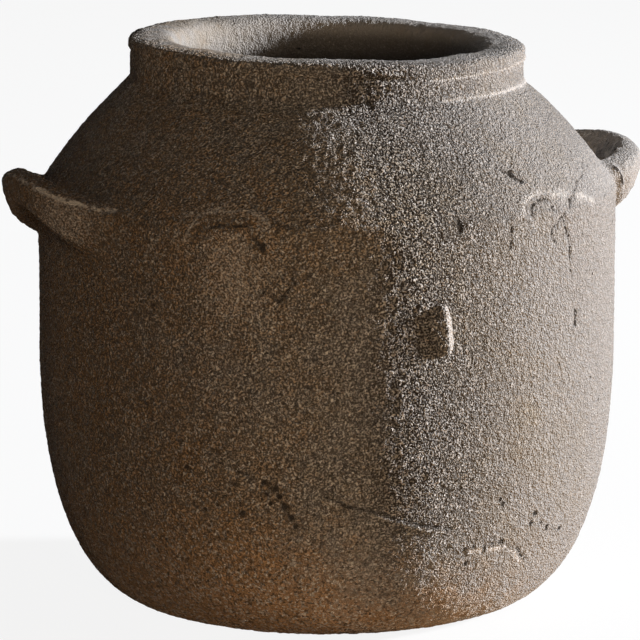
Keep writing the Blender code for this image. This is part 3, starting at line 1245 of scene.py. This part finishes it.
@dataclass
class LugHandle(JarPiece):
    """A strap lug: an upturned bridge of clay with a narrow gap behind it.

    Attributes:
        side: -1 for the lug on -X, 1 for the one on +X.
        root_drop: how far its roots lie below its middle.
        root_swell: how much thicker it is at its roots.
        fillet: radius of the clay in the corner at the wall.
        smear: the same where the front root was smeared down.
        tilt: how much lower the front root lies than the middle, and the back root higher.
        crease_depth: depth of the crease beside the front root, which also sets how dark its painted shade
            is.
        wear_and_highlight: how pale its top edge and its front face are, partly from wear and partly as a
            painted highlight, from 0 to 1.
        fold_depth: depth of the fold under its front face, which also sets how dark its painted shade is.
        reach: distance of its outer face from the axis.
        thickness: of the strap.
        height: of the strap.
        middle_height: height of its middle.
        lean: how far the strap's top leans out, in radians.
        middle_pull: pull on the path at its middle.
        root: place of a root within the wall, seen from above.
        root_pull: pull on the path at a root.
        squareness: power of the rounded section, where 2 is an ellipse.
        trim: share of its lower half that is cut away at its middle.
        crease_gap: distance of the crease from the wall.
        crease_width: half its width.
        welt_gap: distance from the crease to the welt of clay pushed up beside it.
        fold_angle: where on the section the fold lies, and half its width, in radians.
        wear_and_highlight_angle: where on the section the top edge is pale from wear and painted highlight,
            and half its width, in radians.
        lump: width and depth of the lumps on the inside.
    """

    side: float
    root_drop: float
    root_swell: float
    fillet: float
    smear: float
    tilt: float
    crease_depth: float
    wear_and_highlight: float
    fold_depth: float
    reach: float = 115.0 * MM
    thickness: float = 9.0 * MM
    height: float = 13.5 * MM
    middle_height: float = 149.6 * MM
    lean: float = math.radians(20.0)
    middle_pull: float = 17.0 * MM
    root: Place = (74.0 * MM, 34.0 * MM)
    root_pull: Place = (28.0 * MM, -4.0 * MM)
    squareness: float = 2.9
    trim: float = 0.28
    crease_gap: float = 2.6 * MM
    crease_width: float = 0.9 * MM
    welt_gap: float = 2.16 * MM
    fold_angle: Place = (-0.75, 0.13)
    wear_and_highlight_angle: Place = (1.15, 0.20)
    lump: Place = (6.0 * MM, 1.0 * MM)

    def path(self, share: np.ndarray) -> tuple[np.ndarray, np.ndarray]:
        """Follow the strap's middle line from one root to the other.

        Args:
            share: how far along, from -1 to 1, with the middle at 0.

        Returns:
            The places, and the unit directions of the path there.
        """
        way = np.sign(share + WELD)[:, None]
        near = 1.0 - np.abs(share)[:, None]
        far = 1.0 - near
        root = np.array((self.root[0], self.root[1], -self.root_drop))
        pull = np.array((self.root_pull[0], self.root_pull[1], 0.0))
        middle = np.array((self.reach - self.thickness / 2.0, 0.0, 0.0))
        corners = [root, root + pull, middle + np.array((0.0, self.middle_pull, 0.0)), middle]
        places = cubic(corners, near)
        run = (
            3.0 * far * far * (corners[1] - corners[0])
            + 6.0 * far * near * (corners[2] - corners[1])
            + 3.0 * near * near * (corners[3] - corners[2])
        )
        flip = np.hstack((np.ones_like(way), way, np.ones_like(way)))
        run = run * flip * -way
        return places * flip, run / np.linalg.norm(run, axis=1)[:, None]

    def swept(self, round_angle: np.ndarray, share: np.ndarray) -> tuple[np.ndarray, np.ndarray]:
        """Sweep the strap's section along its path.

        Args:
            round_angle: angle of each point round the section.
            share: how far along the path each point is, from -1 to 1.

        Returns:
            Each point's place, and the place of the path there.
        """
        middle, run = self.path(share)
        across = np.cross(run, np.array((0.0, 0.0, 1.0)))
        across /= np.linalg.norm(across, axis=1)[:, None]
        upright = np.cross(across, run)
        lean_out = math.cos(self.lean) * across - math.sin(self.lean) * upright
        lean_up = math.cos(self.lean) * upright + math.sin(self.lean) * across
        ease = np.abs(share) ** 2 * (3.0 - 2.0 * np.abs(share))
        swell = 1.0 + (self.root_swell - 1.0) * ease
        power = 2.0 / self.squareness
        cosine, sine = np.cos(round_angle), np.sin(round_angle)
        wide = np.sign(cosine) * np.abs(cosine) ** power * self.thickness / 2.0 * swell
        tall = np.sign(sine) * np.abs(sine) ** power * self.height / 2.0 * swell
        tall *= np.where(sine < 0.0, 1.0 - self.trim * (1.0 - ease), 1.0)
        return middle + wide[:, None] * lean_out + tall[:, None] * lean_up, middle

    def front(self, share: np.ndarray) -> np.ndarray:
        """How near each point is to the front root, from -1 at the back root to 1."""
        return -self.side * share

    def fillets(self, round_angle: np.ndarray, share: np.ndarray) -> np.ndarray:
        """Radius of the fillet at each point: large where the front root was smeared down."""
        smeared = smooth_step(0.0, 0.4, self.front(share)) * smooth_step(0.2, 0.9, np.cos(round_angle))
        return self.fillet + (self.smear - self.fillet) * smeared

    def flare(self, points: np.ndarray, middle: np.ndarray, fillet: np.ndarray) -> np.ndarray:
        """Smooth the strap into the wall with a hollow fillet.

        Args:
            points: places on the strap.
            middle: the strap's middle at each.
            fillet: radius of the fillet at each.

        Returns:
            The places with the fillet.
        """
        gap, outwards = self.skin.section.wall_gap(points)
        near = np.clip(fillet - gap, 0.0, fillet)
        spread = fillet - np.sqrt(fillet**2 - near**2)
        away = points - middle
        away -= np.sum(away * outwards, axis=1)[:, None] * outwards
        away /= np.maximum(np.linalg.norm(away, axis=1), WELD)[:, None]
        return points + away * spread[:, None]

    def creases(
        self, points: np.ndarray, gap: np.ndarray, round_angle: np.ndarray, share: np.ndarray
    ) -> tuple[np.ndarray, np.ndarray]:
        """Crease and fold the outer face beside the front root, and paint shade into the crease and the
        fold.

        Args:
            points: places on the strap.
            gap: distance of each from the wall.
            round_angle: angle of each point round the section.
            share: how far along the path each point is.

        Returns:
            How far each point moves out, and its painted shade.
        """
        front = smooth_step(0.1, 0.4, self.front(share)) * smooth_step(-0.1, 0.5, np.cos(round_angle))
        upper = front * smooth_step(-0.6, 0.0, round_angle)
        crease = upper * hill(self.crease_gap, self.crease_width, gap)
        welt = upper * hill(self.crease_gap + self.welt_gap, self.crease_width, gap)
        fold = front * hill(*self.fold_angle, round_angle) * smooth_step(0.85, 0.55, self.front(share))
        moved = self.crease_depth * (0.5 * welt - crease) - self.fold_depth * fold
        # Painted shade in the crease and the fold, where they lie in shadow.
        stain_and_painted_light = crease * min(self.crease_depth / MM, 1.0) + fold * min(self.fold_depth / MM, 1.0)
        return moved, stain_and_painted_light * (0.75 + 0.7 * clay_noise(points, 4.0 * MM, Pattern.CREASE))

    def rubbed_and_highlighted(
        self, points: np.ndarray, gap: np.ndarray, round_angle: np.ndarray, share: np.ndarray
    ) -> np.ndarray:
        """Find how pale the strap is from wear and painted highlight, along its top edge and on its front
        face.

        Args:
            points: places on the strap.
            gap: distance of each from the wall.
            round_angle: angle of each point round the section.
            share: how far along the path each point is.

        Returns:
            How pale each point is.
        """
        patchy = 0.55 + 0.35 * clay_noise(points, 9.0 * MM, Pattern.WORN_AND_HIGHLIGHT)
        patchy += 1.2 * clay_noise(points, 1.5 * MM, Pattern.SPECKLE, 1)
        edge = hill(*self.wear_and_highlight_angle, round_angle) * np.maximum(patchy, 0.0)
        face = smooth_step(0.15, 0.45, self.front(share)) * smooth_step(-0.8, -0.2, round_angle)
        face *= smooth_step(1.5, 1.0, round_angle) * smooth_step(1.0 * MM, 9.0 * MM, gap)
        return self.wear_and_highlight * (edge + 0.4 * face)

    def inner_lumps(self, points: np.ndarray, round_angle: np.ndarray) -> np.ndarray:
        """Lumps on the side towards the wall, from about -1 to 1."""
        return clay_noise(points, self.lump[0], Pattern.LUMPS) * smooth_step(0.35, 0.9, -np.cos(round_angle))

    def model(self) -> bpy.types.Mesh:
        """Bend a round bar into the strap, smooth it in and shape the clay.

        Returns:
            The mesh.
        """
        shape = bmesh.new()
        bmesh.ops.create_cone(
            shape,
            cap_ends=True,
            segments=self.fineness.lug_sides,
            radius1=1.0,
            radius2=1.0,
            depth=2.0,
        )
        long_edges = [edge for edge in shape.edges if edge.verts[0].co.z != edge.verts[1].co.z]
        bmesh.ops.subdivide_edges(shape, edges=long_edges, cuts=self.fineness.lug_cuts, use_grid_fill=True)
        bar = np.array([vert.co for vert in shape.verts])
        round_angle, share = np.arctan2(bar[:, 1], bar[:, 0]), bar[:, 2]
        points, middle = self.swept(round_angle, share)
        rise = self.middle_height - self.tilt * self.front(share)
        points[:, 2] += rise
        middle[:, 2] += rise
        points = self.flare(points, middle, self.fillets(round_angle, share))
        points[:, :2] *= self.side
        facing = self.settle(shape, points)
        gap, _ = self.skin.section.wall_gap(points * np.array((self.side, self.side, 1.0)))
        moved, stain_and_painted_light = self.creases(points, gap, round_angle, share)
        # The top edge and front face are paler, partly from wear and partly as a painted highlight.
        stain_and_painted_light -= self.rubbed_and_highlighted(points, gap, round_angle, share)
        lumps = self.inner_lumps(points, round_angle)
        moved += self.lump[1] * lumps + self.skin.relief(points)
        # Painted highlights on the tops of the lumps inside the lug and painted shade in the hollows between
        # them.
        return self.finished(shape, points + facing * moved[:, None], stain_and_painted_light - 1.5 * lumps)


@dataclass
class ClayPellet(JarPiece):
    """The thin lump of clay stuck on the front wall, with a long left flank and a short right one, bright
    and painted pale as a highlight.

    Attributes:
        middle: its middle, along X and up.
        half_size: half its width, its thickness and half its height.
        left_share: width of its left half as a share of the right one's.
        lean: how far its crest lies to the right for its thickness.
        tilt: how far its top lies to the left for its height.
        crest_fall: how straight its flanks fall from its crest, from 0 to 1.
        crest_power: how slowly its crest sinks towards its ends.
        corner_power: how square the corners of its right half are.
        lump: width and depth of its unevenness.
        painted_highlight: how pale its right flank, which faces the key light, is painted as a highlight.
    """

    middle: Place = (-2.2 * MM, 110.5 * MM)
    half_size: tuple[float, float, float] = (4.9 * MM, 1.7 * MM, 8.6 * MM)
    left_share: float = 0.75
    lean: float = 1.2
    tilt: float = 0.12
    crest_fall: float = 0.6
    crest_power: float = 0.6
    corner_power: float = 0.4
    lump: Place = (6.0 * MM, 0.4 * MM)
    painted_highlight: float = 1.1

    def squeezed(self, ball: np.ndarray) -> np.ndarray:
        """Squeeze a ball against the wall.

        Args:
            ball: places on a ball of radius 1.

        Returns:
            The places on the lump.
        """
        side, depth, rise = ball.T
        wide, thick, tall = self.half_size
        half = np.sqrt(np.maximum(1.0 - rise**2, WELD))
        beside = np.minimum(np.abs(side) / half, 1.0)
        fall = self.crest_fall * beside + (1.0 - self.crest_fall) * beside**2
        out = thick * np.where(depth < 0.0, half**self.crest_power * (1.0 - fall), -depth)
        square = np.where(side > 0.0, (1.04 - rise**2) ** -self.corner_power, self.left_share)
        across = wide * side * square + self.lean * np.maximum(out, 0.0) - self.tilt * tall * rise
        wall = self.skin.section.profile.belly_radius
        return np.column_stack((self.middle[0] + across, -wall - out, self.middle[1] + tall * rise))

    def model(self) -> bpy.types.Mesh:
        """Squeeze a ball against the wall and shape the clay.

        Returns:
            The mesh.
        """
        shape = bmesh.new()
        bmesh.ops.create_icosphere(shape, subdivisions=self.fineness.pellet_level, radius=1.0)
        ball = np.array([vert.co for vert in shape.verts])
        points = self.squeezed(ball)
        facing = self.settle(shape, points)
        moved = self.lump[1] * clay_noise(points, self.lump[0], Pattern.PELLET) + self.skin.grit(points)
        # Painted highlight on the right flank, which faces the key light.
        pale = self.painted_highlight * smooth_step(0.1, 0.4, ball[:, 0])
        return self.finished(shape, points + facing * moved[:, None], -pale)


def aim_from(holder: bpy.types.Object, aim: Vector, turn: float, rise: float, distance: float) -> None:
    """Set a lamp or a camera so that it looks at a point, and put it in the scene.

    Args:
        holder: the lamp or camera.
        aim: the point.
        turn: turn from -Y towards +X, in degrees.
        rise: angle above the floor, in degrees.
        distance: from the point.
    """
    round_angle, up_angle = math.radians(turn), math.radians(rise)
    level = math.cos(up_angle)
    away = Vector((math.sin(round_angle) * level, -math.cos(round_angle) * level, math.sin(up_angle)))
    holder.location = aim + distance * away
    holder.rotation_euler = away.to_track_quat("Z", "Y").to_euler()
    bpy.context.scene.collection.objects.link(holder)


@dataclass(frozen=True)
class Lamp:
    """A soft square lamp that looks at the jar.

    Attributes:
        name: its name.
        colour: its colour.
        turn: turn from -Y towards +X, in degrees.
        rise: angle above the floor, in degrees.
        distance: from the jar's middle.
        size: length of its side.
        level: how bright it makes a white surface that faces it, where 1 is white.
    """

    name: str
    colour: Colour
    turn: float
    rise: float
    distance: float
    size: float
    level: float

    def hang(self, aim: Vector) -> None:
        """Hang the lamp so that it looks at a point."""
        lamp = bpy.data.lights.new(self.name, "AREA")
        lamp.shape = "SQUARE"
        lamp.size = self.size
        lamp.energy = self.level * (math.pi * self.distance) ** 2
        lamp.color = self.colour
        holder = bpy.data.objects.new(self.name, lamp)
        aim_from(holder, aim, self.turn, self.rise, self.distance)


@dataclass(frozen=True)
class Studio:
    """Pale floor, soft light and the camera.

    Attributes:
        camera_turn: turn of the camera, in degrees.
        camera_rise: angle of the camera above the floor, in degrees.
        camera_distance: from its aim point.
        aim_height: height of the aim point.
        aim_left: how far the aim point lies left of the axis.
        lens: focal length in millimetres.
        sensor: sensor width in millimetres.
        floor_half: half the length of the floor.
        floor_gap: how far it lies under the foot.
        floor_colour: colour that the floor throws on the jar.
        shadow_share: share of the floor's look that shows the shadow.
        ambient: level of the light from all round.
        ambient_colour: its colour.
        lamps: the lamps.
    """

    camera_turn: float = -23.0
    camera_rise: float = 10.6
    camera_distance: float = 1.675
    aim_height: float = 96.7 * MM
    aim_left: float = 2.27 * MM
    lens: float = 270.0
    sensor: float = 36.0
    floor_half: float = 6.0
    floor_gap: float = 0.2 * MM
    floor_colour: Colour = (0.80, 0.54, 0.30)
    shadow_share: float = 0.12
    ambient: float = 0.002
    ambient_colour: Colour = (1.0, 0.80, 0.60)
    lamps: tuple[Lamp, ...] = (
        Lamp("key", (0.92, 0.95, 1.0), turn=76.5, rise=15.5, distance=2.2, size=0.25, level=2.35),
        Lamp("front_fill", (1.0, 0.78, 0.54), turn=-8.0, rise=8.0, distance=2.4, size=0.3, level=0.29),
        Lamp("back_fill", (1.0, 0.95, 0.90), turn=165.0, rise=32.0, distance=2.4, size=1.6, level=0.02),
    )

    def place_camera(self) -> None:
        """Make the camera and use it for the scene."""
        camera = bpy.data.cameras.new("camera")
        camera.lens = self.lens
        camera.sensor_width = self.sensor
        camera.sensor_fit = "HORIZONTAL"
        holder = bpy.data.objects.new("camera", camera)
        turn = math.radians(self.camera_turn)
        rightwards = Vector((math.cos(turn), math.sin(turn), 0.0))
        aim = Vector((0.0, 0.0, self.aim_height)) - self.aim_left * rightwards
        aim_from(holder, aim, self.camera_turn, self.camera_rise, self.camera_distance)
        bpy.context.scene.camera = holder

    def lay_floor(self) -> None:
        """Lay the pale floor, white to the camera apart from the jar's shadow."""
        shape = bmesh.new()
        bmesh.ops.create_grid(shape, x_segments=1, y_segments=1, size=self.floor_half)
        bmesh.ops.translate(shape, vec=(0.0, 0.0, -self.floor_gap), verts=shape.verts)
        mesh = bpy.data.meshes.new("floor")
        shape.to_mesh(mesh)
        shape.free()
        floor = bpy.data.objects.new("floor", mesh)
        bpy.context.scene.collection.objects.link(floor)
        material = bpy.data.materials.new("pale_floor")
        material.use_nodes = True
        graph = ShaderGraph(material.node_tree)
        seen = graph.seen()
        colour = graph.mix(seen, self.floor_colour, WHITE)
        graph.fill(graph.tree.nodes["Principled BSDF"], {"Base Color": colour, "Roughness": 0.9})
        glow = graph.node("ShaderNodeEmission", {}, {"Color": WHITE, "Strength": 1.0})
        share = seen * (1.0 - self.shadow_share)
        layers = {0: share, 1: graph.first_output("Principled BSDF"), 2: glow}
        mixed = graph.node("ShaderNodeMixShader", {}, layers)
        graph.fill(graph.tree.nodes["Material Output"], {"Surface": mixed})
        mesh.materials.append(material)

    def light_world(self) -> None:
        """Give the world a weak warm light, and white to the camera."""
        world = bpy.data.worlds.new("studio_air")
        world.use_nodes = True
        bpy.context.scene.world = world
        graph = ShaderGraph(world.node_tree)
        weak = {"Color": self.ambient_colour, "Strength": self.ambient}
        graph.fill(graph.tree.nodes["Background"], weak)
        white = graph.node("ShaderNodeBackground", {}, {"Color": WHITE, "Strength": 1.0})
        layers = {0: graph.seen(), 1: graph.first_output("Background"), 2: white}
        mixed = graph.node("ShaderNodeMixShader", {}, layers)
        graph.fill(graph.tree.nodes["World Output"], {"Surface": mixed})

    def set_up(self) -> None:
        """Make the floor, the light, the camera and plain view settings."""
        bpy.context.scene.view_settings.view_transform = "Standard"
        self.lay_floor()
        self.light_world()
        for lamp in self.lamps:
            lamp.hang(Vector((0.0, 0.0, self.aim_height)))
        self.place_camera()


def jar_pieces(fineness: Fineness) -> list[JarPiece]:
    """List the jar's pieces from the foot up.

    Args:
        fineness: how finely they are meshed.

    Returns:
        The pieces, not yet built.
    """
    profile = JarProfile()
    section = Section(profile, profile.whole())
    skin = ClaySkin(section, HORSESHOE + TORN_SKIN + HAIRLINE + SCARS + TURNED_LINES)
    finishes = (
        ClayFinish("foot_clay", brownness=0.55, smoothness=0.4),
        ClayFinish("belly_clay", smoothness=0.4),
        ClayFinish("shoulder_clay"),
        ClayFinish("rim_clay", shoulder_darkening=0.0),
        ClayFinish("lug_clay", coarseness=0.9, left_shade=0.6, shoulder_darkening=0.0),
    )
    foot, belly, shoulder, rim, lug = (
        {"slot": finish.name, "skin": skin, "finish": finish.material(), "fineness": fineness}
        for finish in finishes
    )
    return [
        BaseDisc("base_disc", **foot),
        WallRing("heel_wall", **belly, low=profile.floor, high=profile.heel_seam),
        WallRing("belly_wall", **belly, low=profile.heel_seam, high=profile.break_height),
        WallRing("shoulder", **shoulder, low=profile.break_height, high=profile.collar_height),
        NeckCollar("neck_collar", **shoulder, low=profile.collar_height, high=profile.rim_seam),
        RimCoil("rim_coil", **rim),
        LugHandle(
            "left_lug_handle",
            **lug,
            side=-1.0,
            root_drop=13.0 * MM,
            root_swell=1.65,
            fillet=1.4 * MM,
            smear=5.0 * MM,
            tilt=0.0,
            crease_depth=0.0,
            wear_and_highlight=0.7,
            fold_depth=1.2 * MM,
        ),
        LugHandle(
            "right_lug_handle",
            **lug,
            side=1.0,
            root_drop=8.0 * MM,
            root_swell=1.5,
            fillet=1.0 * MM,
            smear=1.0 * MM,
            tilt=1.2 * MM,
            crease_depth=1.2 * MM,
            wear_and_highlight=0.25,
            fold_depth=0.0,
        ),
        ClayPellet("clay_pellet", **belly),
    ]


def main() -> None:
    """Set up the studio and build the jar piece by piece, logging each piece's face count."""
    logging.basicConfig(level=logging.INFO, format="%(message)s")
    Studio().set_up()
    for piece in jar_pieces(FINE):
        piece.build()


if __name__ == "__main__":
    main()
